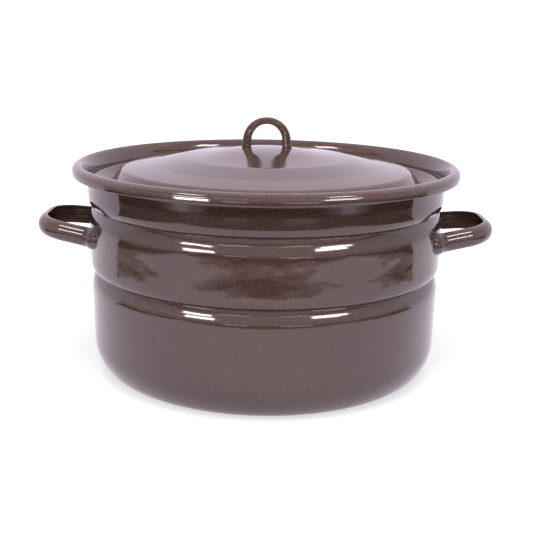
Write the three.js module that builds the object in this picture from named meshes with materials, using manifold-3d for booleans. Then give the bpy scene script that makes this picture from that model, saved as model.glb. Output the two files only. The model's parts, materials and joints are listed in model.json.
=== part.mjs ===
// Enamelled steel cooking pot with a lift-off lid.
// Five pressed sheet pieces: pot body, two side handles, lid cover and lid loop.
// Millimetres, +Z up. The origin is the middle of the base, and the handles lie along X.

import * as THREE from 'three';
import { mergeVertices } from 'three/addons/utils/BufferGeometryUtils.js';
import Module from 'manifold-3d';

const wasm = await Module();
wasm.setup();

// Pot body
const POT_HEIGHT = 203;
const POT_SHEET = 1.4;
const BASE_WALL_RADIUS = 167;
const NECK_RADIUS = 170.4;
const CORNER_WIDTH = 27;
const CORNER_HEIGHT = 35;

// Belt grooves, measured down from the top of the neck: a round shoulder on each side of a crease
const GROOVE_DEPTH = 4.6;
const GROOVE_ABOVE = 11.4;
const GROOVE_BELOW = 17;
const GROOVE_SHARPNESS = 2.5;
const NECK_BAND = 19.5;
const BELT_PITCH = 61.5;

// Rim: the neck widens to seat the lid, flares over to a crest and turns down as a lip
const RIM_DEPTH = 21;
const RIM_TAPER = 0.9;
const FLARE_WIDTH = 6.5;
const FLARE_DROP = 6.2;
const LIP_WIDTH = 6.8;
const LIP_ROUND = 5.6;
const LIP_DROP = 10.2;

// Lid cover
const LID_SHEET = 1.2;
const LID_SEAT_RISE = 6.2;
const LID_CREST_INSET = 4.4;
const LID_CREST_RISE = 0.8;
const LID_GUTTER_INSET = 14;
const LID_GUTTER_DROP = 9.2;
const LID_SHOULDER_INSET = 31;
const LID_SHOULDER_RISE = 9.4;
const LID_DISC_RADIUS = 81.5;
const LID_DISC_RISE = 20;
const LID_CONE_RISE = 5.5;
const LID_CONE_DISH = 1.6;
const LID_CAP_RADIUS = 40;
const LID_CAP_RISE = 3.4;
const LID_STEP_WIDTH = 28;
const LID_STEP_DROP = 6;
const LID_STEP_FILLET = 60;
const LID_SHOULDER_FILLET = 8;
const LID_GUTTER_FILLET = 5;
const LID_CREST_FILLET = 3;

// Side handles, which slope up away from the wall
const HANDLE_REACH = 50;
const HANDLE_BELOW_GROOVE = 25.3;
const HANDLE_TILT = THREE.MathUtils.degToRad(8);
const HANDLE_STRAP_HEIGHT = 18.3;
const HANDLE_STRAP_DEPTH = 7.2;
const HANDLE_SHEET = 1.6;
const HANDLE_BEND_RADIUS = 38;
const HANDLE_END_STRAIGHT = 25;
const HANDLE_SPREAD = THREE.MathUtils.degToRad(18);
const HANDLE_FOOT_FLARE = 4;
const HANDLE_FOOT_LENGTH = 9;

// Lid loop
const LOOP_HEIGHT = 28.3;
const LOOP_STRAP_WIDTH = 12;
const LOOP_STRAP_DEPTH = 6.8;
const LOOP_SHEET = 1.3;
const LOOP_BEND_RADIUS = 20;
const LOOP_END_STRAIGHT = 6;
const LOOP_SPREAD = THREE.MathUtils.degToRad(3);
const LOOP_FOOT_FLARE = 1.2;
const LOOP_FOOT_LENGTH = 5;

// Clearance between pieces that touch
const JOIN_GAP = 0.3;

// Fineness of the round shapes
const ROUND_SEGMENTS = 48;
const CORNER_STEPS = 5;
const GROOVE_STEPS = 8;
const LIP_STEPS = 3;
const FILLET_STEPS = 3;
const DISC_STEPS = 3;
const STRAP_SECTION_STEPS = 8;
const STRAP_ARC_STEPS = 6;
const STRAP_FOOT_STEPS = 4;

// Heights that follow from the sizes above
const seatHeight = POT_HEIGHT - RIM_DEPTH;
const upperGroove = seatHeight - NECK_BAND;
const lowerGroove = upperGroove - BELT_PITCH;
const handleHeight = upperGroove - HANDLE_BELOW_GROOVE;

// Outside radius of the tapered wall at a height, without the grooves.
function wallRadius(height) {
  const share = (height - CORNER_HEIGHT) / (seatHeight - CORNER_HEIGHT);
  return THREE.MathUtils.lerp(BASE_WALL_RADIUS, NECK_RADIUS, share);
}

// A stretch of an ellipse in the radius-height plane, between two angles in degrees.
function ellipseArc(centre, width, height, from, to, steps) {
  const points = [];
  for (let i = 0; i <= steps; i += 1) {
    const angle = THREE.MathUtils.degToRad(THREE.MathUtils.lerp(from, to, i / steps));
    points.push(new THREE.Vector2(centre.x + width * Math.cos(angle), centre.y + height * Math.sin(angle)));
  }
  return points;
}

// One belt groove: the wall rounds in to the crease and out again.
function groove(creaseHeight) {
  const points = [];
  for (let i = 0; i <= GROOVE_STEPS; i += 1) {
    const offset = THREE.MathUtils.lerp(-1, 1, i / GROOVE_STEPS);
    const height = creaseHeight + offset * (offset < 0 ? GROOVE_BELOW : GROOVE_ABOVE);
    const dip = GROOVE_DEPTH * (1 - Math.abs(offset)) ** GROOVE_SHARPNESS;
    points.push(new THREE.Vector2(wallRadius(height) - dip, height));
  }
  return points;
}

// The line of corners with each corner that has a fillet replaced by an arc of that radius.
function filletedLine(corners) {
  const points = [];
  corners.forEach(({ at, fillet = 0 }, i) => {
    if (!fillet) {
      points.push(at.clone());
      return;
    }
    const back = corners[i - 1].at.clone().sub(at).normalize();
    const ahead = corners[i + 1].at.clone().sub(at).normalize();
    const half = Math.acos(THREE.MathUtils.clamp(back.dot(ahead), -1, 1)) / 2;
    const start = at.clone().addScaledVector(back, fillet / Math.tan(half));
    const end = at.clone().addScaledVector(ahead, fillet / Math.tan(half));
    const middle = back.add(ahead).normalize().multiplyScalar(fillet / Math.sin(half)).add(at);
    for (let k = 0; k <= FILLET_STEPS; k += 1) {
      const spoke = start.clone().lerp(end, k / FILLET_STEPS).sub(middle);
      points.push(spoke.setLength(fillet).add(middle));
    }
  });
  return points;
}

// The same line moved sideways, to the left of its direction.
function offsetLine(points, distance) {
  const leftOf = (a, b) => new THREE.Vector2(a.y - b.y, b.x - a.x).normalize();
  return points.map((point, i) => {
    const before = leftOf(points[Math.max(i - 1, 0)], points[Math.max(i, 1)]);
    const last = points.length - 1;
    const after = leftOf(points[Math.min(i, last - 1)], points[Math.min(i + 1, last)]);
    const miter = before.clone().add(after).divideScalar(1 + before.dot(after));
    return point.clone().addScaledVector(miter, distance);
  });
}

// A closed triangle mesh as a solid, with shared vertices merged and collapsed triangles dropped.
function solidOf(geometry) {
  geometry.deleteAttribute('normal');
  geometry.deleteAttribute('uv');
  const merged = mergeVertices(geometry, 1e-4);
  const corners = merged.index.array;
  const kept = [];
  for (let i = 0; i < corners.length; i += 3) {
    const [a, b, c] = corners.slice(i, i + 3);
    if (a !== b && b !== c && c !== a) {
      kept.push(a, b, c);
    }
  }
  const vertProperties = new Float32Array(merged.attributes.position.array);
  return new wasm.Manifold(new wasm.Mesh({ numProp: 3, vertProperties, triVerts: new Uint32Array(kept) }));
}

// The mesh of a solid as a three.js geometry.
function geometryOf(solid) {
  const { vertProperties, triVerts } = solid.getMesh();
  const geometry = new THREE.BufferGeometry();
  geometry.setAttribute('position', new THREE.BufferAttribute(vertProperties, 3));
  geometry.setIndex(new THREE.BufferAttribute(triVerts, 1));
  geometry.computeVertexNormals();
  return geometry;
}

// A solid of revolution about Z from an outline that starts and ends on the axis.
function turnedSolid(outline) {
  return solidOf(new THREE.LatheGeometry(outline, ROUND_SEGMENTS).rotateX(Math.PI / 2));
}

// Outside line of the pot, from the middle of the base up the wall to the top of the neck.
function bodyLine() {
  const cornerCentre = new THREE.Vector2(BASE_WALL_RADIUS - CORNER_WIDTH, CORNER_HEIGHT);
  return [
    new THREE.Vector2(0, 0),
    ...ellipseArc(cornerCentre, CORNER_WIDTH, CORNER_HEIGHT, -90, 0, CORNER_STEPS),
    ...groove(lowerGroove),
    ...groove(upperGroove),
    new THREE.Vector2(NECK_RADIUS, seatHeight),
  ];
}

// Underside of the rim: the taper that seats the lid, the flare to the crest and the turned-down lip.
function rimLine() {
  const crestRadius = NECK_RADIUS + RIM_TAPER + FLARE_WIDTH;
  const flareCentre = new THREE.Vector2(crestRadius, POT_HEIGHT - FLARE_DROP);
  const lipCentre = new THREE.Vector2(crestRadius, POT_HEIGHT - LIP_ROUND);
  const lipWidth = LIP_WIDTH - POT_SHEET;
  return [
    ...ellipseArc(flareCentre, FLARE_WIDTH, FLARE_DROP - POT_SHEET, 180, 90, LIP_STEPS),
    ...ellipseArc(lipCentre, lipWidth, LIP_ROUND - POT_SHEET, 90, 0, LIP_STEPS).slice(1),
    new THREE.Vector2(crestRadius + lipWidth, POT_HEIGHT - LIP_DROP),
  ];
}

function potBody() {
  const outside = [...bodyLine(), ...rimLine()];
  const inside = offsetLine(outside, POT_SHEET);
  return turnedSolid([...outside, ...inside.reverse()]);
}

// The lid's edge rests inside the rim's taper.
const lidEdgeHeight = seatHeight + LID_SEAT_RISE;
const seatTaper = RIM_TAPER / (RIM_DEPTH - FLARE_DROP);
const lidRadius = NECK_RADIUS + seatTaper * (LID_SEAT_RISE - LID_SHEET) - POT_SHEET - JOIN_GAP;
const discEdgeHeight = lidEdgeHeight + LID_DISC_RISE;
const lidTopHeight = discEdgeHeight + LID_CONE_RISE + LID_CAP_RISE;

// The raised disc of the lid, from the middle to its edge: a round cap on a slightly dished cone.
function discLine() {
  const points = [];
  for (let i = 0; i <= DISC_STEPS; i += 1) {
    const share = i / DISC_STEPS;
    points.push(new THREE.Vector2(LID_CAP_RADIUS * share, lidTopHeight - LID_CAP_RISE * share * share));
  }
  for (let i = 1; i <= DISC_STEPS; i += 1) {
    const share = i / DISC_STEPS;
    const radius = THREE.MathUtils.lerp(LID_CAP_RADIUS, LID_DISC_RADIUS, share);
    const dish = LID_CONE_DISH * share * (1 - share);
    points.push(new THREE.Vector2(radius, discEdgeHeight + LID_CONE_RISE * (1 - share) - dish));
  }
  return points;
}

// Top line of the lid, from its edge inwards to the middle.
function lidLine() {
  const inset = (distance, rise) => new THREE.Vector2(lidRadius - distance, lidEdgeHeight + rise);
  const disc = discLine();
  const discEdge = disc.pop();
  const stepFoot = new THREE.Vector2(discEdge.x + LID_STEP_WIDTH, discEdge.y - LID_STEP_DROP);
  return filletedLine([
    { at: inset(0, 0) },
    { at: inset(LID_CREST_INSET, LID_CREST_RISE), fillet: LID_CREST_FILLET },
    { at: inset(LID_GUTTER_INSET, -LID_GUTTER_DROP), fillet: LID_GUTTER_FILLET },
    { at: inset(LID_SHOULDER_INSET, LID_SHOULDER_RISE), fillet: LID_SHOULDER_FILLET },
    { at: stepFoot, fillet: LID_STEP_FILLET },
    { at: discEdge, fillet: LID_STEP_FILLET },
    ...disc.reverse().map((at) => ({ at })),
  ]);
}

function lidCover() {
  const top = lidLine();
  const underside = offsetLine(top, LID_SHEET).reverse();
  underside[0].x = 0;
  underside[underside.length - 1].set(lidRadius, lidEdgeHeight - LID_SHEET);
  return turnedSolid([...underside, ...top]);
}

// A half-round strap bent into a loop: two spread legs and an end between two bends, hollow side inwards.
// The loop reaches along local X, spans local Y, and the strap is as wide as local Z.
// seatAt gives the reach at which a leg meets what it stands on, for a place along the span.
function strapLoop(form) {
  const { tip, root, bendRadius, endStraight, spread, seatAt } = form;
  const { depth, width, sheet, footFlare, footLength } = form;
  const bend = bendRadius - depth;
  const arcAngle = Math.PI / 2 - spread;
  const half = [];
  for (let i = 0; i <= STRAP_ARC_STEPS; i += 1) {
    const turn = arcAngle * i / STRAP_ARC_STEPS;
    const x = tip - bendRadius + bend * Math.cos(turn);
    half.push({ x, y: endStraight / 2 + bend * Math.sin(turn), turn });
  }
  const arcEnd = half[STRAP_ARC_STEPS];
  const legSpan = (x) => arcEnd.y + (arcEnd.x - x) * Math.tan(spread);
  const seat = seatAt(legSpan(root));
  const reaches = [];
  for (let i = 0; i <= STRAP_FOOT_STEPS; i += 1) {
    reaches.push(seat + footLength * (1 - i / STRAP_FOOT_STEPS));
  }
  reaches.push(root);
  half.push(...reaches.map((x) => ({ x, y: legSpan(x), turn: arcAngle })));
  const mirrored = half.map(({ x, y, turn }) => ({ x, y: -y, turn: -turn }));
  const stations = [...mirrored.reverse(), ...half];
  const ringSize = 2 * (STRAP_SECTION_STEPS + 1);
  const positions = [];
  for (const { x, y, turn } of stations) {
    const share = THREE.MathUtils.clamp(1 - (x - seat) / footLength, 0, 1);
    const flare = footFlare * share * share;
    for (let i = 0; i < ringSize; i += 1) {
      const inner = i > STRAP_SECTION_STEPS;
      const step = inner ? ringSize - 1 - i : i;
      const angle = Math.PI * (step / STRAP_SECTION_STEPS - 0.5);
      const thin = inner ? sheet : 0;
      const out = (depth + flare - thin) * Math.cos(angle);
      const side = (width / 2 + flare / 3 - thin) * Math.sin(angle);
      positions.push(x + out * Math.cos(turn), y + out * Math.sin(turn), side);
    }
  }
  const faces = [];
  const quad = (a, b, c, d) => faces.push(a, b, c, a, c, d);
  const lastRing = (stations.length - 1) * ringSize;
  for (let ring = 0; ring < lastRing; ring += ringSize) {
    for (let i = 0; i < ringSize; i += 1) {
      const next = (i + 1) % ringSize;
      quad(ring + i, ring + ringSize + i, ring + ringSize + next, ring + next);
    }
  }
  for (let i = 0; i < STRAP_SECTION_STEPS; i += 1) {
    const back = ringSize - 1 - i;
    quad(i, i + 1, back - 1, back);
    quad(lastRing + i, lastRing + back, lastRing + back - 1, lastRing + i + 1);
  }
  const geometry = new THREE.BufferGeometry();
  geometry.setAttribute('position', new THREE.Float32BufferAttribute(positions, 3));
  geometry.setIndex(faces);
  return geometry;
}

// A side handle, trimmed to the pot's wall and turned about Z to its side.
function sideHandle(turn) {
  const wall = wallRadius(handleHeight);
  const geometry = strapLoop({
    tip: HANDLE_REACH,
    root: -HANDLE_REACH / 2,
    bendRadius: HANDLE_BEND_RADIUS,
    endStraight: HANDLE_END_STRAIGHT,
    spread: HANDLE_SPREAD,
    depth: HANDLE_STRAP_DEPTH,
    width: HANDLE_STRAP_HEIGHT,
    sheet: HANDLE_SHEET,
    footFlare: HANDLE_FOOT_FLARE,
    footLength: HANDLE_FOOT_LENGTH,
    seatAt: (span) => Math.sqrt(wall * wall - span * span) - wall,
  });
  geometry.rotateY(-HANDLE_TILT).translate(wall, 0, handleHeight).rotateZ(turn);
  const line = bodyLine();
  const envelope = line.slice(1).map(({ x, y }) => new THREE.Vector2(x + JOIN_GAP, y));
  const top = new THREE.Vector2(0, seatHeight);
  return solidOf(geometry).subtract(turnedSolid([line[0], ...envelope, top]));
}

// The loop stands on the lid's disc, in the XZ plane, and is trimmed to the disc.
function lidLoop() {
  const tip = lidTopHeight + LOOP_HEIGHT;
  const root = lidTopHeight - LOOP_HEIGHT / 4;
  const geometry = strapLoop({
    tip,
    root,
    bendRadius: LOOP_BEND_RADIUS,
    endStraight: LOOP_END_STRAIGHT,
    spread: LOOP_SPREAD,
    depth: LOOP_STRAP_DEPTH,
    width: LOOP_STRAP_WIDTH,
    sheet: LOOP_SHEET,
    footFlare: LOOP_FOOT_FLARE,
    footLength: LOOP_FOOT_LENGTH,
    seatAt: () => lidTopHeight,
  });
  const reachUp = new THREE.Matrix4().makeBasis(
    new THREE.Vector3(0, 0, 1),
    new THREE.Vector3(1, 0, 0),
    new THREE.Vector3(0, 1, 0),
  );
  geometry.applyMatrix4(reachUp);
  const disc = discLine().map(({ x, y }) => new THREE.Vector2(x, y + JOIN_GAP)).reverse();
  const below = root - LOOP_HEIGHT;
  const envelope = [new THREE.Vector2(0, below), new THREE.Vector2(LID_DISC_RADIUS, below), ...disc];
  return solidOf(geometry).subtract(turnedSolid(envelope));
}

function enamel(color) {
  return new THREE.MeshStandardMaterial({ color, roughness: 0.12, metalness: 0 });
}

function piece(name, solid, material) {
  const mesh = new THREE.Mesh(geometryOf(solid), material);
  mesh.name = name;
  return mesh;
}

const pot = new THREE.Group();
pot.add(piece('pot_body', potBody(), enamel(0x4a3634)));
pot.add(piece('handle_right', sideHandle(0), enamel(0x4a3634)));
pot.add(piece('handle_left', sideHandle(Math.PI), enamel(0x4a3634)));

const lid = new THREE.Group();
lid.add(piece('lid_cover', lidCover(), enamel(0x4e3a38)));
lid.add(piece('lid_loop', lidLoop(), enamel(0x46322f)));
pot.add(lid);

export default pot;
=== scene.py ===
"""Enamelled steel cooking pot with a lift-off lid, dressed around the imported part. Metres, +Z up."""

from __future__ import annotations

import json
import logging
import math
from collections.abc import Callable, Sequence
from dataclasses import dataclass, field
from enum import Enum
from typing import Any

import bpy
import numpy as np
from mathutils import Matrix, Vector

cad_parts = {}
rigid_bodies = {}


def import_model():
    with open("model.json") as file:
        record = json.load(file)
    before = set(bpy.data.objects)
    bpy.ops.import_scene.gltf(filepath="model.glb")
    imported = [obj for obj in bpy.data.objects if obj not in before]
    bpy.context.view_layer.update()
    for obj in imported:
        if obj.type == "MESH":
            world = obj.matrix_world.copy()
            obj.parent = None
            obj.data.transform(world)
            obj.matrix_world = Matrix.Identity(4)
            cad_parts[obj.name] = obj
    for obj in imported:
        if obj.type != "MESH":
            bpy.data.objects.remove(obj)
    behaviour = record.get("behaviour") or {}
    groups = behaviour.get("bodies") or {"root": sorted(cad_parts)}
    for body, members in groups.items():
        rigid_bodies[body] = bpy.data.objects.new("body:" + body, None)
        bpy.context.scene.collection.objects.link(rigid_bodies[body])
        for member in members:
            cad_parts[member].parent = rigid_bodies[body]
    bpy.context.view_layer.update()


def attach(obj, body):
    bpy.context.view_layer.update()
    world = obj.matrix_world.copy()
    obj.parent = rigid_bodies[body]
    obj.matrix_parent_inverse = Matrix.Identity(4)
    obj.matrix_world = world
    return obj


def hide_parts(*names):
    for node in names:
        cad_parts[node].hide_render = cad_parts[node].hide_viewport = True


log = logging.getLogger("pot")

FRAME_PX = 533
MERGE = 2e-6
WAVE_DETAIL = 3.0
WAVE_ROUGHNESS = 0.6
CUTTER_SEGMENTS = 96
TINY = 1e-9
WALL_TRIM = 0.0003
DISC_TRIM = 0.0001


class Side(Enum):
    """The side of the pot that a handle stands on, as its turn about Z in degrees."""

    RIGHT = 0.0
    LEFT = 180.0


class Body(Enum):
    """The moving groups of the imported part."""

    POT = "pot"
    LID = "lid"


def pick(sockets: Any, key: int | str) -> bpy.types.NodeSocket:
    """Find a socket in use.

    Args:
        sockets: A node's inputs or outputs.
        key: The socket's place among the enabled ones, or its name.

    Returns:
        The first enabled socket that fits.
    """
    enabled = [s for s in sockets if s.enabled]
    if isinstance(key, int):
        return enabled[key]
    return next(s for s in enabled if s.name == key)


class Wire:
    """A node's output, whose arithmetic adds Math nodes to the tree."""

    def __init__(self, graph: Graph, node: bpy.types.Node, key: int | str = 0) -> None:
        """Hold one output of a node."""
        self.graph = graph
        self.node = node
        self.key = key

    @property
    def socket(self) -> bpy.types.NodeSocket:
        """The socket that this wire starts from."""
        return pick(self.node.outputs, self.key)

    def __getitem__(self, key: int | str) -> Wire:
        """Another output of the same node."""
        return Wire(self.graph, self.node, key)

    def __add__(self, other: Wire | float) -> Wire:
        """Sum."""
        return self.graph.math("ADD", self, other)

    def __radd__(self, other: float) -> Wire:
        """Sum with a number on the left."""
        return self.graph.math("ADD", other, self)

    def __sub__(self, other: Wire | float) -> Wire:
        """Difference."""
        return self.graph.math("SUBTRACT", self, other)

    def __rsub__(self, other: float) -> Wire:
        """Difference from a number on the left."""
        return self.graph.math("SUBTRACT", other, self)

    def __mul__(self, other: Wire | float) -> Wire:
        """Product."""
        return self.graph.math("MULTIPLY", self, other)

    def __rmul__(self, other: float) -> Wire:
        """Product with a number on the left."""
        return self.graph.math("MULTIPLY", other, self)

    def __truediv__(self, other: Wire | float) -> Wire:
        """Quotient."""
        return self.graph.math("DIVIDE", self, other)

    def __rtruediv__(self, other: float) -> Wire:
        """Quotient of a number on the left."""
        return self.graph.math("DIVIDE", other, self)

    def __mod__(self, other: Wire | float) -> Wire:
        """Remainder."""
        return self.graph.math("MODULO", self, other)

    def __rmod__(self, other: float) -> Wire:
        """Remainder of a number on the left."""
        return self.graph.math("MODULO", other, self)

    def __gt__(self, other: Wire | float) -> Wire:
        """One where this is greater, else nought."""
        return self.graph.math("GREATER_THAN", self, other)

    def __lt__(self, other: Wire | float) -> Wire:
        """One where this is less, else nought."""
        return self.graph.math("LESS_THAN", self, other)


class Graph:
    """A node tree under construction, of a material, a world or a mesh rule."""

    def __init__(self, tree: bpy.types.NodeTree) -> None:
        """Start from an emptied tree."""
        self.tree = tree
        tree.nodes.clear()

    def add(
        self,
        kind: str,
        settings: dict[str, Any] | None = None,
        sockets: dict[int | str, Any] | None = None,
    ) -> Wire:
        """Add one node.

        Args:
            kind: The node's type.
            settings: Its own properties, set first.
            sockets: Values or wires for its inputs, by name or place.

        Returns:
            A wire from the node's first output.
        """
        node = self.tree.nodes.new(kind)
        for name, value in (settings or {}).items():
            setattr(node, name, value)
        for key, value in (sockets or {}).items():
            socket = pick(node.inputs, key)
            if isinstance(value, Wire):
                self.tree.links.new(value.socket, socket)
            else:
                socket.default_value = value
        return Wire(self, node)

    def math(self, operation: str, *values: Wire | float) -> Wire:
        """Add a Math node for one operation on numbers."""
        return self.add("ShaderNodeMath", {"operation": operation}, dict(enumerate(values)))

    def mix_colour(self, factor: Wire | float, low: Any, high: Any) -> Wire:
        """Mix two colours.

        Args:
            factor: The share of the second colour.
            low: The first colour, RGBA or a wire.
            high: The second colour, RGBA or a wire.

        Returns:
            The mixed colour.
        """
        sockets = {"Factor": factor, "A": low, "B": high}
        return self.add("ShaderNodeMix", {"data_type": "RGBA"}, sockets)


class MeshRule(Graph):
    """A geometry tree with named inputs, run once on a guide mesh."""

    def __init__(self, name: str, inputs: dict[str, str]) -> None:
        """Make the tree and its sockets.

        Args:
            name: The tree's name.
            inputs: Each named input with its socket type.
        """
        super().__init__(bpy.data.node_groups.new(name, "GeometryNodeTree"))
        face = self.tree.interface
        face.new_socket("Geometry", in_out="INPUT", socket_type="NodeSocketGeometry")
        face.new_socket("Geometry", in_out="OUTPUT", socket_type="NodeSocketGeometry")
        self.ids = {
            key: face.new_socket(key, in_out="INPUT", socket_type=kind).identifier
            for key, kind in inputs.items()
        }
        self.given = self.add("NodeGroupInput")

    def close(self, mesh: Wire) -> None:
        """End the tree: smooth, realized and with its material set."""
        smooth = self.add("GeometryNodeSetShadeSmooth", None, {"Geometry": mesh})
        real = self.add("GeometryNodeRealizeInstances", None, {"Geometry": smooth})
        sockets = {"Geometry": real, "Material": self.given["Material"]}
        dressed = self.add("GeometryNodeSetMaterial", None, sockets)
        self.add("NodeGroupOutput", None, {0: dressed})

    def sample(self, source: Wire, value: Wire, index: Wire, kind: str) -> Wire:
        """Read a value of another mesh at one of its points.

        Args:
            source: The mesh that holds the value.
            value: The field to read.
            index: The point's number.
            kind: The value's data type.

        Returns:
            The value at that point.
        """
        settings = {"data_type": kind, "domain": "POINT"}
        sockets = {"Geometry": source, "Value": value, "Index": index}
        return self.add("GeometryNodeSampleIndex", settings, sockets)

    def attribute(self, name: str, kind: str) -> Wire:
        """A named value of the mesh that is read."""
        return self.add("GeometryNodeInputNamedAttribute", {"data_type": kind}, {"Name": name})

    def vector(self, operation: str, *values: Any) -> Wire:
        """Add a Vector Math node for one operation."""
        return self.add("ShaderNodeVectorMath", {"operation": operation}, dict(enumerate(values)))

    def run(self, guide: bpy.types.Object, name: str, values: dict[str, Any]) -> bpy.types.Object:
        """Turn a guide mesh into a finished piece.

        Args:
            guide: The object whose mesh the tree reads, which is used up.
            name: The finished piece's name.
            values: A value for each named input.

        Returns:
            The piece, a plain mesh at the origin.
        """
        modifier = guide.modifiers.new(name, "NODES")
        modifier.node_group = self.tree
        for key, value in values.items():
            modifier[self.ids[key]] = value
        evaluated = guide.evaluated_get(bpy.context.evaluated_depsgraph_get())
        mesh = bpy.data.meshes.new_from_object(evaluated)
        guide.modifiers.remove(modifier)
        bpy.data.objects.remove(guide)
        mesh.name = name
        return place(mesh)


def place(mesh: bpy.types.Mesh) -> bpy.types.Object:
    """Put a mesh in the scene as an object at the origin."""
    obj = bpy.data.objects.new(mesh.name, mesh)
    bpy.context.scene.collection.objects.link(obj)
    return obj


def guide_line(name: str, points: np.ndarray, **values: np.ndarray) -> bpy.types.Object:
    """Make a guide: an ordered row of points with values on them.

    Args:
        name: The guide's name.
        points: The points, one row of three each.
        values: Further numbers or vectors, one for each point.

    Returns:
        The guide object.
    """
    mesh = bpy.data.meshes.new(name)
    edges = [(i, i + 1) for i in range(len(points) - 1)]
    mesh.from_pydata([tuple(p) for p in points], edges, [])
    for key, data in values.items():
        vector = data.ndim == 2
        layer = mesh.attributes.new(key, "FLOAT_VECTOR" if vector else "FLOAT", "POINT")
        layer.data.foreach_set("vector" if vector else "value", data.astype(np.float32).ravel())
    return place(mesh)


def turned_shell() -> MeshRule:
    """The rule for a turned piece: a half outline swept round Z, with the wall's slight waves.

    Returns:
        The tree. Its guide is the outline in the XZ plane, with a wave share at each point.
    """
    rule = MeshRule(
        "TurnedShell",
        {
            "Segments": "NodeSocketInt",
            "Wave Height": "NodeSocketFloat",
            "Wave Length": "NodeSocketFloat",
            "Wave Radius": "NodeSocketFloat",
            "Material": "NodeSocketMaterial",
        },
    )
    outline = rule.given["Geometry"]
    segments = rule.given["Segments"]
    size = rule.add("GeometryNodeAttributeDomainSize", {"component": "MESH"}, {"Geometry": outline})
    rows = size["Point Count"]
    sheet = rule.add(
        "GeometryNodeMeshGrid", None, {"Vertices X": segments + 1, "Vertices Y": rows}
    )
    index = rule.add("GeometryNodeInputIndex")
    row = index % rows
    turn = rule.math("FLOOR", index / rows) / segments * math.tau
    position = rule.add("GeometryNodeInputPosition")
    at = rule.sample(outline, position, row, "FLOAT_VECTOR")
    share = rule.sample(outline, rule.attribute("wave", "FLOAT"), row, "FLOAT")
    parts = rule.add("ShaderNodeSeparateXYZ", None, {0: at})
    radius, height = parts["X"], parts["Z"]
    cos, sin = rule.math("COSINE", turn), rule.math("SINE", turn)
    about = rule.given["Wave Radius"] / rule.given["Wave Length"]
    spot = {"X": cos * about, "Y": sin * about, "Z": height / rule.given["Wave Length"]}
    pattern = {
        "Vector": rule.add("ShaderNodeCombineXYZ", None, spot),
        "Scale": 1.0,
        "Detail": WAVE_DETAIL,
        "Roughness": WAVE_ROUGHNESS,
    }
    noise = rule.add("ShaderNodeTexNoise", {"noise_dimensions": "3D"}, pattern)
    wave = (noise - 0.5) * 2.0 * rule.given["Wave Height"] * share
    bent = radius + wave
    moved = rule.add("ShaderNodeCombineXYZ", None, {"X": bent * cos, "Y": bent * sin, "Z": height})
    shell = rule.add("GeometryNodeSetPosition", None, {"Geometry": sheet, "Position": moved})
    sealed = rule.add("GeometryNodeMergeByDistance", None, {"Geometry": shell, "Distance": MERGE})
    rule.close(sealed)
    return rule


def swept_strap() -> MeshRule:
    """The rule for a bent strap: a section carried along a path and trimmed to what it stands on.

    Returns:
        The tree. Its guide is the path, with the section's two directions and scales at each point.
    """
    rule = MeshRule(
        "SweptStrap",
        {
            "Section": "NodeSocketObject",
            "Cutter": "NodeSocketObject",
            "Material": "NodeSocketMaterial",
        },
    )
    path = rule.given["Geometry"]
    section = rule.add("GeometryNodeObjectInfo", None, {"Object": rule.given["Section"]})["Geometry"]
    cutter = rule.add("GeometryNodeObjectInfo", None, {"Object": rule.given["Cutter"]})["Geometry"]
    counts = [
        rule.add("GeometryNodeAttributeDomainSize", {"component": "MESH"}, {"Geometry": line})
        for line in (path, section)
    ]
    columns, rows = (count["Point Count"] for count in counts)
    sheet = rule.add("GeometryNodeMeshGrid", None, {"Vertices X": columns, "Vertices Y": rows})
    index = rule.add("GeometryNodeInputIndex")
    row = index % rows
    column = rule.math("FLOOR", index / rows)
    position = rule.add("GeometryNodeInputPosition")
    across = rule.add(
        "ShaderNodeSeparateXYZ", None, {0: rule.sample(section, position, row, "FLOAT_VECTOR")}
    )
    moved = rule.sample(path, position, column, "FLOAT_VECTOR")
    for direction, distance in (("out", across["X"]), ("side", across["Y"])):
        way = rule.attribute(direction, "FLOAT_VECTOR")
        arm = rule.sample(path, way, column, "FLOAT_VECTOR")
        step = rule.add(
            "ShaderNodeVectorMath", {"operation": "SCALE"}, {"Vector": arm, "Scale": distance}
        )
        moved = rule.vector("ADD", moved, step)
    tube = rule.add("GeometryNodeSetPosition", None, {"Geometry": sheet, "Position": moved})
    sealed = rule.add("GeometryNodeMergeByDistance", None, {"Geometry": tube, "Distance": MERGE})
    cut = rule.add(
        "GeometryNodeMeshBoolean",
        {"operation": "DIFFERENCE", "solver": "EXACT"},
        {"Mesh 1": sealed, "Mesh 2": cutter},
    )
    rule.close(cut["Mesh"])
    return rule


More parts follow.
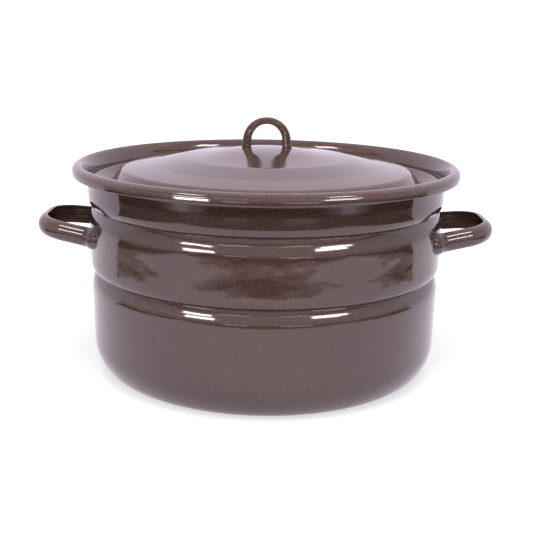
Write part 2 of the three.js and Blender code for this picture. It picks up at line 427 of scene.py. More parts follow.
class Outline:
    """Helpers for lines in the radius-height plane, as rows of (radius, height)."""

    @staticmethod
    def arc(
        centre: tuple[float, float],
        radii: tuple[float, float],
        start: float,
        end: float,
        count: int,
    ) -> np.ndarray:
        """A stretch of an ellipse.

        Args:
            centre: Its middle.
            radii: Its half width and half height.
            start: First angle in degrees.
            end: Last angle in degrees.
            count: Number of steps.

        Returns:
            The points along it.
        """
        angles = np.radians(np.linspace(start, end, count + 1))
        return np.c_[centre[0] + radii[0] * np.cos(angles), centre[1] + radii[1] * np.sin(angles)]

    @staticmethod
    def flare(
        start: tuple[float, float], end: tuple[float, float], fullness: float, count: int
    ) -> np.ndarray:
        """A curve that leaves its start upwards and comes level at its end.

        Args:
            start: Its low point.
            end: Its high point.
            fullness: How far it bulges: 1 is a straight slope and 2 a quarter of an ellipse.
            count: Number of steps.

        Returns:
            The points along it.
        """
        angles = np.radians(np.linspace(0, 90, count + 1))
        away = np.clip(np.cos(angles), 0, 1) ** (2 / fullness)
        rise = np.sin(angles) ** (2 / fullness)
        return np.c_[end[0] - (end[0] - start[0]) * away, start[1] + (end[1] - start[1]) * rise]

    @staticmethod
    def filleted(corners: Sequence[tuple[float, float, float]], count: int = 10) -> np.ndarray:
        """A line with rounded corners.

        Args:
            corners: Each corner's radius, height and fillet radius.
            count: Number of steps in each fillet.

        Returns:
            The points along the line.
        """
        spots = np.array([c[:2] for c in corners])
        points: list[np.ndarray] = []
        for i, (spot, (_, _, fillet)) in enumerate(zip(spots, corners)):
            if fillet == 0:
                points.append(spot)
                continue
            back = spots[i - 1] - spot
            ahead = spots[i + 1] - spot
            back = back / np.linalg.norm(back)
            ahead = ahead / np.linalg.norm(ahead)
            half = math.acos(float(np.clip(back @ ahead, -1, 1))) / 2
            reach = fillet / math.tan(half)
            bisector = (back + ahead) / np.linalg.norm(back + ahead)
            middle = spot + bisector * fillet / math.sin(half)
            first, last = spot + back * reach - middle, spot + ahead * reach - middle
            for share in np.linspace(0, 1, count + 1):
                spoke = first + (last - first) * share
                points.append(middle + spoke * fillet / np.linalg.norm(spoke))
        return np.array(points)

    @staticmethod
    def spaced(line: np.ndarray, spacing: float) -> np.ndarray:
        """The line with points added so that no step is longer than the spacing."""
        rows = [line[:1]]
        for a, b in zip(line[:-1], line[1:]):
            count = max(1, math.ceil(np.linalg.norm(b - a) / spacing))
            rows.append(a + (b - a) * np.linspace(0, 1, count + 1)[1:, None])
        return np.concatenate(rows)

    @staticmethod
    def beside(line: np.ndarray, distance: float) -> np.ndarray:
        """The line moved to the left of its direction."""
        steps = np.diff(line, axis=0)
        steps /= np.linalg.norm(steps, axis=1, keepdims=True)
        left = np.c_[-steps[:, 1], steps[:, 0]]
        before = np.vstack([left[:1], left])
        after = np.vstack([left, left[-1:]])
        miter = (before + after) / (1 + np.sum(before * after, axis=1, keepdims=True))
        return line + miter * distance

    @classmethod
    def sheet(cls, line: np.ndarray, distance: float, count: int = 6) -> np.ndarray:
        """The closed outline of a sheet with a rounded edge.

        Args:
            line: One face, from the axis to the free edge.
            distance: The sheet's thickness, to the left of the line; negative to the right.
            count: Number of steps round the edge.

        Returns:
            The outline, from the axis round the free edge and back to the axis.
        """
        other = cls.beside(line, distance)
        other[0, 0] = 0.0
        middle = (line[-1] + other[-1]) / 2
        arm = line[-1] - middle
        ahead = line[-1] - line[-2]
        ahead = ahead / np.linalg.norm(ahead) * np.linalg.norm(arm)
        angles = np.linspace(0, math.pi, count + 1)[1:-1, None]
        edge = middle + arm * np.cos(angles) + ahead * np.sin(angles)
        return np.vstack([line, edge, other[::-1]])


@dataclass(frozen=True)
class Enamel:
    """A fired glossy enamel with fine flecks and a slight orange-peel surface."""

    name: str
    ground: tuple[float, float, float] = (0.140, 0.074, 0.061)
    shade: tuple[float, float, float] = (0.060, 0.031, 0.026)
    fleck: tuple[float, float, float] = (0.210, 0.128, 0.078)
    fleck_size: float = 0.0009
    fleck_share: float = 0.70
    fleck_core: tuple[float, float] = (0.55, 0.15)
    cloud_size: float = 0.06
    cloud_detail: float = 3.0
    cloud_share: float = 0.25
    peel_size: float = 0.006
    peel_detail: float = 2.0
    peel_depth: float = 0.00001
    roughness: float = 0.07
    roughness_spread: float = 0.04
    ior: float = 1.6
    gloss_tint: tuple[float, float, float] = (1.0, 0.94, 0.98)
    coat: float = 0.2
    coat_roughness: float = 0.03
    coat_ior: float = 1.5

    def material(self) -> bpy.types.Material:
        """Build the finish.

        Returns:
            The procedural material.
        """
        material = bpy.data.materials.new(self.name)
        material.use_nodes = True
        graph = Graph(material.node_tree)
        coords = graph.add("ShaderNodeTexCoord")["Object"]
        cloud = graph.add(
            "ShaderNodeTexNoise",
            None,
            {"Vector": coords, "Scale": 1 / self.cloud_size, "Detail": self.cloud_detail},
        )
        cells = graph.add(
            "ShaderNodeTexVoronoi", None, {"Vector": coords, "Scale": 1 / self.fleck_size}
        )
        chance = graph.add("ShaderNodeSeparateColor", None, {0: cells["Color"]})
        edge, middle = self.fleck_core
        core = graph.add(
            "ShaderNodeMapRange",
            {"interpolation_type": "SMOOTHSTEP"},
            {"Value": cells["Distance"], "From Min": edge, "From Max": middle},
        )
        flecks = (chance["Red"] > self.fleck_share) * core * chance["Green"]
        grain = cloud * self.cloud_share + chance["Blue"] * (1 - self.cloud_share)
        tone = graph.mix_colour(grain, (*self.shade, 1.0), (*self.ground, 1.0))
        colour = graph.mix_colour(flecks, tone, (*self.fleck, 1.0))
        peel = graph.add(
            "ShaderNodeTexNoise",
            None,
            {"Vector": coords, "Scale": 1 / self.peel_size, "Detail": self.peel_detail},
        )
        bump = graph.add(
            "ShaderNodeBump", None, {"Strength": 1.0, "Distance": self.peel_depth, "Height": peel}
        )
        shader = graph.add(
            "ShaderNodeBsdfPrincipled",
            None,
            {
                "Base Color": colour,
                "Roughness": self.roughness + cloud * self.roughness_spread,
                "IOR": self.ior,
                "Specular Tint": (*self.gloss_tint, 1.0),
                "Coat Weight": self.coat,
                "Coat Roughness": self.coat_roughness,
                "Coat IOR": self.coat_ior,
                "Normal": bump,
            },
        )
        graph.add("ShaderNodeOutputMaterial", None, {"Surface": shader})
        return material


@dataclass
class Workshop:
    """The mesh rules that the sub-assemblies share."""

    shell: MeshRule = field(default_factory=turned_shell)
    strap: MeshRule = field(default_factory=swept_strap)

    def turn(
        self,
        name: str,
        outline: np.ndarray,
        material: bpy.types.Material | None = None,
        segments: int = 224,
        waves: np.ndarray | None = None,
        wave_height: float = 0.0,
        wave_length: float = 0.02,
        wave_radius: float = 0.17,
    ) -> bpy.types.Object:
        """Turn an outline round Z.

        Args:
            name: The piece's name.
            outline: Its closed half outline.
            material: Its finish.
            segments: Number of steps round.
            waves: The share of the waves at each point, or none.
            wave_height: How far the waves stand out.
            wave_length: How long they are.
            wave_radius: The radius at which their pattern is read.

        Returns:
            The turned piece.
        """
        points = np.c_[outline[:, 0], np.zeros(len(outline)), outline[:, 1]]
        share = np.zeros(len(outline)) if waves is None else waves
        values = {
            "Segments": segments,
            "Wave Height": wave_height,
            "Wave Length": wave_length,
            "Wave Radius": wave_radius,
            "Material": material,
        }
        return outward(self.shell.run(guide_line(name + "_outline", points, wave=share), name, values))


def outward(piece: bpy.types.Object) -> bpy.types.Object:
    """Point the faces of a closed piece outwards, and return the piece."""
    mesh = piece.data
    mesh.calc_loop_triangles()
    corners = np.empty(len(mesh.loop_triangles) * 3, np.int32)
    mesh.loop_triangles.foreach_get("vertices", corners)
    spots = np.empty(len(mesh.vertices) * 3)
    mesh.vertices.foreach_get("co", spots)
    a, b, c = spots.reshape(-1, 3)[corners.reshape(-1, 3)].transpose(1, 0, 2)
    if np.sum(np.cross(a, b) * c) < 0:
        mesh.flip_normals()
    return piece


@dataclass
class PotBody:
    """The deep-drawn pot: base, tapered wall with two belt grooves, rim and turned-down lip."""

    height: float = 0.203
    sheet: float = 0.0014
    base_radius: float = 0.167
    neck_radius: float = 0.1704
    corner: tuple[float, float] = (0.027, 0.035)
    groove_depth: float = 0.0046
    groove_below: float = 0.017
    groove_above: float = 0.0114
    groove_sharpness: tuple[float, float] = (2.5, 3.3)
    crease: float = 0.0002
    neck_band: float = 0.0195
    belt_pitch: float = 0.0615
    waist: float = 0.00030
    rim_depth: float = 0.021
    rim_taper: float = 0.0006
    flare: tuple[float, float] = (0.0068, 0.0136)
    flare_fullness: float = 1.35
    lip_width: float = 0.0067
    lip_round: float = 0.0056
    lip_drop: float = 0.0102
    lip_lean: float = 0.0002
    wave_height: float = 0.00034
    wave_length: float = 0.014
    wave_start: float = 0.012
    wave_growth: float = 0.03
    wave_fade: float = 0.01
    wave_off_belt: float = 0.3
    belt_steepness: float = 3.0
    base_margin: float = 0.001
    base_spacing: float = 0.012
    corner_steps: int = 22
    wall_rows: int = 96
    groove_rows: tuple[float, ...] = (0.00015, 0.0004, 0.0008, 0.0013, 0.0020, 0.0028, 0.0036)
    rim_steps: int = 20
    taper_spacing: float = 0.003
    rim_spacing: float = 0.002
    trim_rows: int = 90

    @property
    def seat(self) -> float:
        """Height at which the neck ends and the taper that seats the lid begins."""
        return self.height - self.rim_depth

    @property
    def grooves(self) -> tuple[float, float]:
        """Heights of the lower and the upper groove."""
        upper = self.seat - self.neck_band
        return upper - self.belt_pitch, upper

    def wall(self, height: np.ndarray | float) -> np.ndarray | float:
        """Outside radius of the tapered wall, with its grooves, at a height."""
        share = (height - self.corner[1]) / (self.seat - self.corner[1])
        radius = self.base_radius + (self.neck_radius - self.base_radius) * share
        for centre in self.grooves:
            offset = height - centre
            reach = np.where(offset < 0, self.groove_below, self.groove_above)
            power = np.where(offset < 0, *self.groove_sharpness)
            away = np.sqrt(offset**2 + self.crease**2) - self.crease
            near = np.clip(1 - away / reach, 0, 1)
            radius = radius - self.groove_depth * near**power
        low, high = self.grooves[0] + self.groove_above, self.grooves[1] - self.groove_below
        belt = np.clip((height - low) / (high - low), 0, 1)
        return radius - self.waist * np.sin(math.pi * belt) ** 2

    def outside(self) -> np.ndarray:
        """Outside line, from the middle of the base to the top of the neck."""
        width, rise = self.corner
        flat = self.base_radius - width
        base = np.array([[0.0, 0.0], [flat - self.base_margin, 0.0]])
        corner = Outline.arc((flat, rise), (width, rise), -90, 0, self.corner_steps)
        even = np.linspace(rise, self.seat, self.wall_rows)[1:]
        offsets = np.array(self.groove_rows)
        near = [centre + side * offsets for centre in self.grooves for side in (-1, 1)]
        heights = np.unique(np.concatenate([even, self.grooves, *near]))
        wall = np.c_[self.wall(heights), heights]
        return np.vstack([Outline.spaced(base, self.base_spacing), corner, wall])

    def rim(self) -> np.ndarray:
        """Underside of the rim: the taper, the flare to the crest and the turned-down lip."""
        width, drop = self.flare
        crest = self.neck_radius + self.rim_taper + width
        lip = self.lip_width - self.sheet
        foot = (crest - width, self.height - drop)
        taper = np.array([[self.neck_radius, self.seat], foot])
        top = (crest, self.height - self.sheet)
        flare = Outline.flare(foot, top, self.flare_fullness, self.rim_steps)
        middle = (crest, self.height - self.lip_round)
        roll = Outline.arc(middle, (lip, self.lip_round - self.sheet), 90, 0, self.rim_steps)
        low = self.height - self.lip_drop + self.sheet / 2
        end = np.array([[crest + lip - self.lip_lean, low]])
        line = np.vstack([flare[1:], roll[1:], end])
        return np.vstack(
            [
                Outline.spaced(taper, self.taper_spacing)[1:],
                Outline.spaced(line, self.rim_spacing),
            ]
        )

    def envelope(self, inset: float) -> np.ndarray:
        """Closed outline of the space that the wall fills, a little smaller, for trimming feet."""
        heights = np.linspace(self.corner[1], self.seat, self.trim_rows)
        wall = np.c_[self.wall(heights) - inset, heights]
        return np.vstack([[[0.0, heights[0]]], wall, [[0.0, heights[-1]]]])

    def build(self, shop: Workshop, finish: Enamel) -> bpy.types.Object:
        """Make the body.

        Args:
            shop: The mesh rules.
            finish: Its enamel.

        Returns:
            The finished piece.
        """
        line = np.vstack([self.outside(), self.rim()])
        outline = Outline.sheet(line, self.sheet)
        return shop.turn(
            "pot_body_shell",
            outline,
            finish.material(),
            waves=self.waves(outline[:, 1]),
            wave_height=self.wave_height,
            wave_length=self.wave_length,
        )

    def waves(self, height: np.ndarray) -> np.ndarray:
        """Share of the waves at a height: most on the belt, none at the base and the rim."""
        rise = np.clip((height - self.wave_start) / self.wave_growth, 0, 1)
        fall = np.clip((self.seat - height) / self.wave_fade, 0, 1)
        low, high = self.grooves
        belt = np.clip(1 - np.abs(height - (low + high) / 2) / (high - low) * 2, 0, 1)
        on_belt = np.clip(belt * self.belt_steepness, 0, 1)
        return rise * fall * (self.wave_off_belt + (1 - self.wave_off_belt) * on_belt)


@dataclass
class LidCover:
    """The pressed lid: raised disc, conical ring, shoulder, gutter and seating edge."""

    sheet: float = 0.0012
    radius: float = 0.1690
    edge_height: float = 0.1882
    crest: tuple[float, float] = (0.0044, 0.0008)
    gutter: tuple[float, float] = (0.0140, -0.0092)
    shoulder: tuple[float, float] = (0.0310, 0.0094)
    disc_radius: float = 0.0815
    disc_rise: float = 0.0200
    cone_rise: float = 0.0055
    cone_dish: float = 0.0016
    cap_radius: float = 0.040
    cap_rise: float = 0.0034
    step: tuple[float, float] = (0.028, 0.006)
    step_fillet: float = 0.060
    shoulder_fillet: float = 0.008
    gutter_fillet: float = 0.005
    crest_fillet: float = 0.003
    edge_inset: float = 0.0006
    disc_points: int = 18
    disc_margin: float = 0.004
    ring_spacing: float = 0.004
    trim_depth: float = 0.05

    @property
    def top(self) -> float:
        """Height of the middle of the disc."""
        return self.edge_height + self.disc_rise + self.cone_rise + self.cap_rise

    def disc(self) -> np.ndarray:
        """The disc, a round cap on a slightly dished cone, from its middle to its edge."""
        share = np.linspace(0, 1, self.disc_points)
        cap = np.c_[self.cap_radius * share, self.top - self.cap_rise * share**2]
        share = share[1:]
        radius = self.cap_radius + (self.disc_radius - self.cap_radius) * share
        rise = self.cone_rise * (1 - share) - self.cone_dish * share * (1 - share)
        cone = np.c_[radius, self.edge_height + self.disc_rise + rise]
        return np.vstack([cap, cone])

    def disc_height(self, radius: float) -> float:
        """Height of the disc at a distance from the middle."""
        line = self.disc()
        return float(np.interp(radius, line[:, 0], line[:, 1]))

    def top_line(self) -> np.ndarray:
        """The lid's top face, from the middle to the seating edge."""

        def inset(spot: tuple[float, float], fillet: float) -> tuple[float, float, float]:
            """A corner at a distance in from the edge and above it."""
            return self.radius - spot[0], self.edge_height + spot[1], fillet

        disc = self.disc()
        near_edge = disc[disc[:, 0] < self.disc_radius - self.disc_margin]
        foot = disc[-1] + np.array([self.step[0], -self.step[1]])
        ring = Outline.filleted(
            [
                (*near_edge[-1], 0.0),
                (*disc[-1], self.step_fillet),
                (*foot, self.step_fillet),
                inset(self.shoulder, self.shoulder_fillet),
                inset(self.gutter, self.gutter_fillet),
                inset(self.crest, self.crest_fillet),
                inset((self.edge_inset, 0.0), 0.0),
            ]
        )
        return np.vstack([near_edge, Outline.spaced(ring, self.ring_spacing)[1:]])

    def build(self, shop: Workshop, finish: Enamel) -> bpy.types.Object:
        """Make the lid.

        Args:
            shop: The mesh rules.
            finish: Its enamel.

        Returns:
            The finished piece.
        """
        outline = Outline.sheet(self.top_line(), -self.sheet)
        return shop.turn("lid_cover_shell", outline, finish.material())

    def envelope(self, inset: float) -> np.ndarray:
        """Closed outline of the space under the disc, for trimming the loop's feet."""
        disc = self.disc()[::-1] - np.array([0.0, inset])
        low = self.top - self.trim_depth
        return np.vstack([[[0.0, low], [self.disc_radius, low]], disc])


@dataclass
class Strap:
    """A half-round strap bent into a loop, with its hollow side inwards."""

    reach: float
    bend_radius: float
    end_straight: float
    spread: float
    depth: float
    width: float
    sheet: float
    foot_flare: float
    foot_length: float
    bead: float
    crown_thin: float
    buried: float
    seat: Callable[[float], float]
    bead_width: float = 0.0016
    bead_sharpness: float = 4.0
    flare_ratio: float = 3.0
    sharp_angle: float = math.radians(50)
    arc_points: int = 33
    edge_points: int = 9
    leg_points: int = 8
    foot_points: int = 26
    end_points: int = 5

    def section(self) -> np.ndarray:
        """The strap's closed section, as rows of (outwards, sideways, 0)."""
        angles = np.radians(np.linspace(-90, 90, self.arc_points))
        half = self.width / 2
        outer = np.c_[self.depth * np.cos(angles), half * np.sin(angles)]
        inner = np.c_[
            (self.depth - self.sheet) * np.cos(angles), (half - self.sheet) * np.sin(angles)
        ]
        turn = np.radians(np.linspace(0, 180, self.edge_points)[1:-1])
        edge = self.sheet / 2
        middle = half - edge
        top = np.c_[-edge * np.sin(turn), middle + edge * np.cos(turn)]
        low = np.c_[-edge * np.sin(turn), -middle + edge * np.cos(turn)]
        ring = np.vstack([outer, top, inner[::-1], low])
        ring = np.vstack([ring, ring[:1]])
        return np.c_[ring, np.zeros(len(ring))]

    def half_path(self) -> tuple[np.ndarray, np.ndarray, np.ndarray]:
        """One half of the path from the middle of the end to the buried root.

        Returns:
            The points (reach, span), the turn of the strap and its added depth at each.
        """
        bend = self.bend_radius - self.depth
        last = math.pi / 2 - self.spread
        turn = np.linspace(0, last, self.arc_points)
        x = self.reach - self.bend_radius + bend * np.cos(turn)
        y = self.end_straight / 2 + bend * np.sin(turn)

        def span(at: np.ndarray | float) -> np.ndarray | float:
            """Where a leg is along the span at a reach."""
            return y[-1] + (x[-1] - at) * math.tan(self.spread)

        seat = self.seat(float(span(-self.buried)))
        leg = np.linspace(x[-1], seat + self.foot_length, self.leg_points)[1:]
        foot = np.linspace(seat + self.foot_length, seat, self.foot_points)[1:]
        root = np.array([-self.buried])
        legs = np.concatenate([leg, foot, root])
        xs = np.concatenate([x, legs])
        ys = np.concatenate([y, span(legs)])
        turns = np.concatenate([turn, np.full(len(legs), last)])
        share = np.clip(1 - (xs - seat) / self.foot_length, 0, 1)
        above = (xs - seat) / self.bead_width
        bead = self.bead * np.exp(-((above - 1) ** 2) * self.bead_sharpness)
        added = self.foot_flare * share**2 + bead
        middle = np.linspace(0, self.end_straight / 2, self.end_points)[:-1]
        xs = np.concatenate([np.full(len(middle), xs[0]), xs])
        ys = np.concatenate([middle, ys])
        turns = np.concatenate([np.zeros(len(middle)), turns])
        added = np.concatenate([np.zeros(len(middle)), added])
        thin = self.crown_thin * np.cos(turns) ** 2
        shift = np.c_[np.cos(turns), np.sin(turns)] * thin[:, None]
        return np.c_[xs, ys] + shift, turns, added - thin

    def build(
        self,
        shop: Workshop,
        name: str,
        to_frame: Matrix,
        cutter: bpy.types.Object,
        finish: Enamel,
    ) -> bpy.types.Object:
        """Bend the strap and trim its feet.

        Args:
            shop: The mesh rules.
            name: The piece's name.
            to_frame: From the strap's own axes (reach, span, width) to the frame.
            cutter: What the feet are trimmed to.
            finish: Its enamel.

        Returns:
            The finished piece.
        """
        points, turns, flare = self.half_path()
        mirror = np.array([1.0, -1.0])
        path = np.vstack([(points * mirror)[:0:-1], points])
        turns = np.concatenate([-turns[:0:-1], turns])
        flare = np.concatenate([flare[:0:-1], flare])
        out = np.c_[np.cos(turns), np.sin(turns)] * (1 + flare / self.depth)[:, None]
        side = 1 + flare / self.flare_ratio / (self.width / 2)
        tips = [path[0] - [self.depth, 0], path[-1] - [self.depth, 0]]
        path = np.vstack([tips[:1], path, tips[1:]])
        out = np.vstack([np.zeros((1, 2)), out, np.zeros((1, 2))])
        side = np.concatenate([[0.0], side, [0.0]])
        nought = np.zeros(len(path))
        spin = np.array(to_frame.to_3x3())
        origin = np.array(to_frame.translation)
        guide = guide_line(
            name + "_path",
            np.c_[path, nought] @ spin.T + origin,
            out=np.c_[out, nought] @ spin.T,
            side=np.c_[nought, nought, side] @ spin.T,
        )
        section = guide_line(name + "_section", self.section())
        values = {"Section": section, "Cutter": cutter, "Material": finish.material()}
        piece = outward(shop.strap.run(guide, name, values))
        piece.data.set_sharp_from_angle(angle=self.sharp_angle)
        bpy.data.objects.remove(section)
        return piece


@dataclass
class SideHandle:
    """One strap handle, welded to the wall and sloping up away from it."""

    pot: PotBody
    side: Side
    reach: float = 0.0498
    below_groove: float = 0.0253
    tilt: float = math.radians(8)

    def build(self, shop: Workshop, cutter: bpy.types.Object, finish: Enamel) -> bpy.types.Object:
        """Make the handle.

        Args:
            shop: The mesh rules.
            cutter: The wall that its feet are trimmed to.
            finish: Its enamel.

        Returns:
            The finished piece.
        """
        height = self.pot.grooves[1] - self.below_groove
        wall = float(self.pot.wall(height))
        strap = Strap(
            reach=self.reach,
            bend_radius=0.038,
            end_straight=0.025,
            spread=math.radians(18),
            depth=0.0072,
            width=0.0183,
            sheet=0.0016,
            foot_flare=0.004,
            foot_length=0.009,
            bead=0.0004,
            crown_thin=0.0,
            buried=0.025,
            seat=lambda span: math.sqrt(wall**2 - span**2) - wall,
        )
        to_frame = (
            Matrix.Rotation(math.radians(self.side.value), 4, "Z")
            @ Matrix.Translation((wall, 0, height))
            @ Matrix.Rotation(-self.tilt, 4, "Y")
        )
        name = f"handle_{self.side.name.lower()}_strap"
        return strap.build(shop, name, to_frame, cutter, finish)


@dataclass
class LidLoop:
    """The finger loop that stands on the middle of the lid."""

    lid: LidCover
    height: float = 0.0283

    def build(self, shop: Workshop, cutter: bpy.types.Object, finish: Enamel) -> bpy.types.Object:
        """Make the loop.

        Args:
            shop: The mesh rules.
            cutter: The disc that its feet are trimmed to.
            finish: Its enamel.

        Returns:
            The finished piece.
        """
        strap = Strap(
            reach=self.height,
            bend_radius=0.0225,
            end_straight=0.001,
            spread=math.radians(3),
            depth=0.0076,
            width=0.012,
            sheet=0.0013,
            foot_flare=0.0006,
            foot_length=0.005,
            bead=0.0005,
            crown_thin=0.0021,
            buried=0.009,
            seat=lambda span: self.lid.disc_height(span) - self.lid.top,
        )
        axes = Matrix(((0, 1, 0), (0, 0, 1), (1, 0, 0))).to_4x4()
        to_frame = Matrix.Translation((0, 0, self.lid.top)) @ axes
        return strap.build(shop, "lid_loop_strap", to_frame, cutter, finish)


@dataclass(frozen=True)
class Band:
    """A stretch of the set round the table: part of a cone about Z, in one tone."""

    start: tuple[float, float]
    end: tuple[float, float]
    turns: tuple[float, float]
    tone: tuple[float, float, float]
    strength: float = 1.0
    table: tuple[float, float] | None = None

    def rows(self, steps: int) -> np.ndarray:
        """The points of the stretch, whose start follows the straight edges of a table if it has one.

        Args:
            steps: Number of steps round.

        Returns:
            The row of points at its start, then the row at its end.
        """
        turns = np.radians(np.linspace(*self.turns, steps + 1))
        first = np.full(len(turns), self.start[0])
        last = np.full(len(turns), self.end[0])
        if self.table:
            slopes = np.abs([np.sin(turns) + TINY, np.cos(turns)])
            side, front = np.array(self.table)[:, None] / slopes
            first = np.minimum(side, front)
        return np.vstack(
            [
                np.c_[radius * np.sin(turns), -radius * np.cos(turns), np.full(len(turns), height)]
                for radius, height in ((first, self.start[1]), (last, self.end[1]))
            ]
        )


PALE = (0.95, 0.88, 0.95)
DIM = (0.60, 0.52, 0.52)
DARK = (0.02, 0.016, 0.016)
WHITE = (1.0, 1.0, 1.0)

SET = (
    # The table's edge and the dark gap beyond it
    Band((0.51, 0.0006), (3.0, 0.0006), (-95, 95), DIM, 0.85, table=(0.54, 0.51)),
    Band((0.57, 0.001), (3.0, 0.001), (-95, 95), DARK, table=(0.60, 0.57)),
    # A white panel, dim at its foot, high in front and low at the sides
    Band((0.85, 0.02), (0.85, 0.06), (-95, 95), DIM, 0.8),
    Band((0.85, 0.06), (0.85, 0.11), (-95, 95), DIM, 1.15),
    Band((0.86, 0.02), (0.86, 0.57), (-27, 27), PALE, 0.85),
    Band((0.86, 0.02), (0.86, 0.31), (-95, -27), PALE, 0.9),
    Band((0.86, 0.02), (0.86, 0.31), (27, 95), PALE, 0.9),
    # The far wall with a dark line along it, and a dim canopy
    Band((3.0, 0.001), (3.0, 1.86), (-42, 42), PALE, 0.85),
    Band((3.0, 1.86), (3.0, 2.3), (-42, 42), DARK),
    Band((3.0, 2.3), (3.0, 3.6), (-42, 42), PALE, 0.8),
    Band((3.0, 0.001), (3.0, 3.6), (-95, -42), PALE, 0.8),
    Band((3.0, 0.001), (3.0, 3.6), (42, 95), PALE, 0.8),
    Band((2.98, 1.86), (2.98, 2.15), (-95, -42), DARK),
    Band((2.98, 1.86), (2.98, 2.15), (42, 95), DARK),
    Band((3.0, 3.6), (0.45, 1.6), (-95, 95), DIM),
    # Bright lines near the top and at the foot of the panel
    Band((0.855, 0.50), (0.855, 0.53), (-27, -9), WHITE, 5.0),
    Band((0.855, 0.50), (0.855, 0.53), (9, 27), WHITE, 5.0),
    Band((0.845, 0.02), (0.845, 0.045), (-22, -9), WHITE, 3.0),
    Band((0.845, 0.02), (0.845, 0.045), (9, 27), WHITE, 3.0),
    # Two near patches, two lamps, and two higher lamps that show in the far rim
    Band((0.45, 0.125), (0.45, 0.17), (-41, -25), WHITE, 20.0),
    Band((0.45, 0.19), (0.45, 0.24), (25, 41), WHITE, 20.0),
    Band((1.5, 0.55), (1.5, 0.70), (-51, -32), WHITE, 20.0),
    Band((1.5, 0.55), (1.5, 0.70), (33, 53), WHITE, 20.0),
    Band((1.0, 1.6), (1.3, 1.6), (-66, -46), WHITE, 16.0),
    Band((1.0, 1.6), (1.3, 1.6), (46, 66), WHITE, 16.0),
)


@dataclass(frozen=True)
class SoftLamp:
    """A square lamp that gives matt light alone."""

    name: str
    size: float
    at: tuple[float, float, float]
    power: float
    aim: tuple[float, float, float] = (0.0, 0.0, 0.1)

    def build(self) -> None:
        """Hang the lamp and point it at the pot."""
        lamp = bpy.data.lights.new(self.name, "AREA")
        lamp.shape = "SQUARE"
        lamp.size = self.size
        lamp.energy = self.power
        obj = bpy.data.objects.new(self.name, lamp)
        bpy.context.scene.collection.objects.link(obj)
        way = Vector(self.aim) - Vector(self.at)
        turned = way.to_track_quat("-Z", "Y").to_matrix().to_4x4()
        obj.matrix_world = Matrix.Translation(self.at) @ turned
        obj.visible_camera = False
        obj.visible_glossy = False


LAMPS = (
    SoftLamp("top_light", 1.6, (0.0, -0.1, 2.0), 20),
    SoftLamp("front_light", 1.5, (0.0, -1.25, 1.6), 27),
)


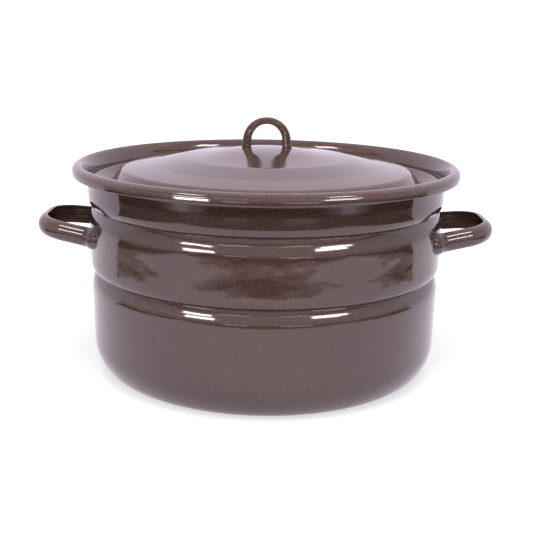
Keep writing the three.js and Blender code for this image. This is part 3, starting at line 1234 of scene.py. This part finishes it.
@dataclass
class Studio:
    """The stage: pale floor, white surround, soft lamps, and a set that only gloss shows."""

    floor_size: float = 8.0
    floor_white: float = 0.55
    floor_grain: float = 30.0
    grain_depth: float = 0.02
    floor_glow: tuple[float, float] = (0.66, 1.0)
    glow_reach: tuple[float, float] = (0.35, 0.9)
    surround: float = 0.14
    sky_tone: tuple[float, float, float] = (1.02, 0.93, 1.10)
    table_tone: tuple[float, float, float] = (0.73, 0.64, 0.78)

    def floor(self) -> bpy.types.Object:
        """Lay the floor, which keeps the object's shadow and looks white where it has none.

        Returns:
            The floor object.
        """
        half = self.floor_size / 2
        mesh = bpy.data.meshes.new("floor")
        corners = [(-half, -half, 0), (half, -half, 0), (half, half, 0), (-half, half, 0)]
        mesh.from_pydata(corners, [], [(0, 1, 2, 3)])
        material = bpy.data.materials.new("pale_floor")
        material.use_nodes = True
        graph = Graph(material.node_tree)
        coords = graph.add("ShaderNodeTexCoord")["Object"]
        grain = graph.add("ShaderNodeTexNoise", None, {"Vector": coords, "Scale": self.floor_grain})
        low, high = ((self.floor_white + step,) * 3 for step in (0.0, self.grain_depth))
        colour = graph.mix_colour(grain, (*low, 1.0), (*high, 1.0))
        matt = graph.add("ShaderNodeBsdfDiffuse", None, {"Color": colour})
        away = graph.add("ShaderNodeVectorMath", {"operation": "LENGTH"}, {0: coords})["Value"]
        near, far = self.glow_reach
        span = {"Value": away, "From Min": near, "From Max": far}
        reach = graph.add("ShaderNodeMapRange", None, span)
        low, high = ((level,) * 3 for level in self.floor_glow)
        glow = graph.mix_colour(reach, (*low, 1.0), (*high, 1.0))
        glow = self.in_gloss(graph, glow, self.table_tone)
        lit = graph.add("ShaderNodeEmission", None, {"Color": glow, "Strength": self.seen(graph)})
        both = graph.add("ShaderNodeAddShader", None, {0: matt, 1: lit})
        graph.add("ShaderNodeOutputMaterial", None, {"Surface": both})
        mesh.materials.append(material)
        return place(mesh)

    @staticmethod
    def seen(graph: Graph) -> Wire:
        """One for the rays of the eye, of gloss and of glass, and nought for the rest."""
        path = graph.add("ShaderNodeLightPath")
        seen = graph.math("MAXIMUM", path["Is Camera Ray"], path["Is Glossy Ray"])
        return graph.math("MAXIMUM", seen, path["Is Transmission Ray"])

    @staticmethod
    def in_gloss(graph: Graph, colour: Any, tone: tuple[float, float, float]) -> Wire:
        """A colour to the eye, with another tone in gloss."""
        gloss = graph.add("ShaderNodeLightPath")["Is Glossy Ray"]
        return graph.mix_colour(gloss, colour, (*tone, 1.0))

    def gloss_set(self, steps: int = 48) -> bpy.types.Object:
        """Set the bands round the front of the table, for the gloss alone.

        Args:
            steps: Number of steps round in each band.

        Returns:
            The set, one mesh with each band's tone on its faces.
        """
        count = steps + 1
        points = np.vstack([band.rows(steps) for band in SET])
        faces = [
            (first + i, first + i + 1, first + count + i + 1, first + count + i)
            for first in range(0, len(points), 2 * count)
            for i in range(steps)
        ]
        mesh = bpy.data.meshes.new("gloss_set")
        mesh.from_pydata([tuple(p) for p in points], [], faces)
        tones = [(*(c * band.strength for c in band.tone), 1.0) for band in SET]
        layer = mesh.attributes.new("tone", "FLOAT_COLOR", "FACE")
        layer.data.foreach_set("color", np.repeat(np.array(tones, np.float32), steps, axis=0).ravel())
        material = bpy.data.materials.new("gloss_set")
        material.use_nodes = True
        graph = Graph(material.node_tree)
        tone = graph.add("ShaderNodeAttribute", {"attribute_name": "tone"})["Color"]
        glow = graph.add("ShaderNodeEmission", None, {"Color": tone, "Strength": 1.0})
        graph.add("ShaderNodeOutputMaterial", None, {"Surface": glow})
        mesh.materials.append(material)
        stand = place(mesh)
        stand.visible_camera = False
        stand.visible_diffuse = False
        stand.visible_shadow = False
        return stand

    def world(self) -> None:
        """Set the white surround: full white to the eye and in gloss, softer as light."""
        world = bpy.data.worlds.new("surround")
        bpy.context.scene.world = world
        world.use_nodes = True
        graph = Graph(world.node_tree)
        strength = self.surround + self.seen(graph) * (1.0 - self.surround)
        tone = self.in_gloss(graph, (1, 1, 1, 1), self.sky_tone)
        sky = graph.add("ShaderNodeBackground", None, {"Color": tone, "Strength": strength})
        graph.add("ShaderNodeOutputWorld", None, {"Surface": sky})

    def build(self) -> None:
        """Set the whole stage."""
        self.floor()
        self.gloss_set()
        self.world()
        for lamp in LAMPS:
            lamp.build()


@dataclass
class PhotoCamera:
    """The camera at the photograph's place."""

    at: tuple[float, float, float] = (0.0, -0.95045, 0.33778)
    pitch: float = math.radians(14.13)
    yaw: float = math.radians(0.10)
    roll: float = math.radians(0.93)
    focal_px: float = 989.53
    sensor: float = 36.0

    def build(self) -> bpy.types.Object:
        """Set the camera up.

        Returns:
            The camera object.
        """
        data = bpy.data.cameras.new("camera")
        data.sensor_width = self.sensor
        data.lens = self.focal_px / FRAME_PX * self.sensor
        camera = bpy.data.objects.new("camera", data)
        bpy.context.scene.collection.objects.link(camera)
        ahead = Vector(
            (
                math.sin(self.yaw) * math.cos(self.pitch),
                math.cos(self.yaw) * math.cos(self.pitch),
                -math.sin(self.pitch),
            )
        )
        right = ahead.cross(Vector((0, 0, 1))).normalized()
        up = right.cross(ahead)
        level = Matrix((right, up, -ahead)).transposed().to_4x4()
        turned = level @ Matrix.Rotation(self.roll, 4, "Z")
        camera.matrix_world = Matrix.Translation(self.at) @ turned
        bpy.context.scene.camera = camera
        return camera


def seat(piece: bpy.types.Object, node: str, body: Body, slot: str) -> None:
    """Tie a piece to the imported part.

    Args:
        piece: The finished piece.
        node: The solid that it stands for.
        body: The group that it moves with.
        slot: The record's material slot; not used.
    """
    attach(piece, body.value)
    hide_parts(node)
    piece.data.calc_loop_triangles()
    log.info("%s: %d triangles, on %s", piece.name, len(piece.data.loop_triangles), body.value)


def main() -> None:
    """Build the pot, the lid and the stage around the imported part."""
    logging.basicConfig(level=logging.INFO, format="%(name)s: %(message)s")
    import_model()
    bpy.context.scene.view_settings.view_transform = "Standard"

    shop = Workshop()
    pot = PotBody()
    lid = LidCover()
    seat(pot.build(shop, Enamel("body_enamel")), "pot_body", Body.POT, "body_enamel")
    seat(lid.build(shop, Enamel("lid_enamel")), "lid_cover", Body.LID, "lid_enamel")
    wall = shop.turn("wall_cutter", pot.envelope(WALL_TRIM), segments=CUTTER_SEGMENTS)
    for side in Side:
        handle = SideHandle(pot, side).build(shop, wall, Enamel("handle_enamel"))
        seat(handle, f"handle_{side.name.lower()}", Body.POT, "handle_enamel")
    disc = shop.turn("disc_cutter", lid.envelope(DISC_TRIM), segments=CUTTER_SEGMENTS)
    duller = Enamel("loop_enamel", roughness=0.16, ior=1.32, coat=0.0)
    seat(LidLoop(lid).build(shop, disc, duller), "lid_loop", Body.LID, "loop_enamel")
    for cutter in (wall, disc):
        bpy.data.objects.remove(cutter)

    Studio().build()
    PhotoCamera().build()


if __name__ == "__main__":
    main()
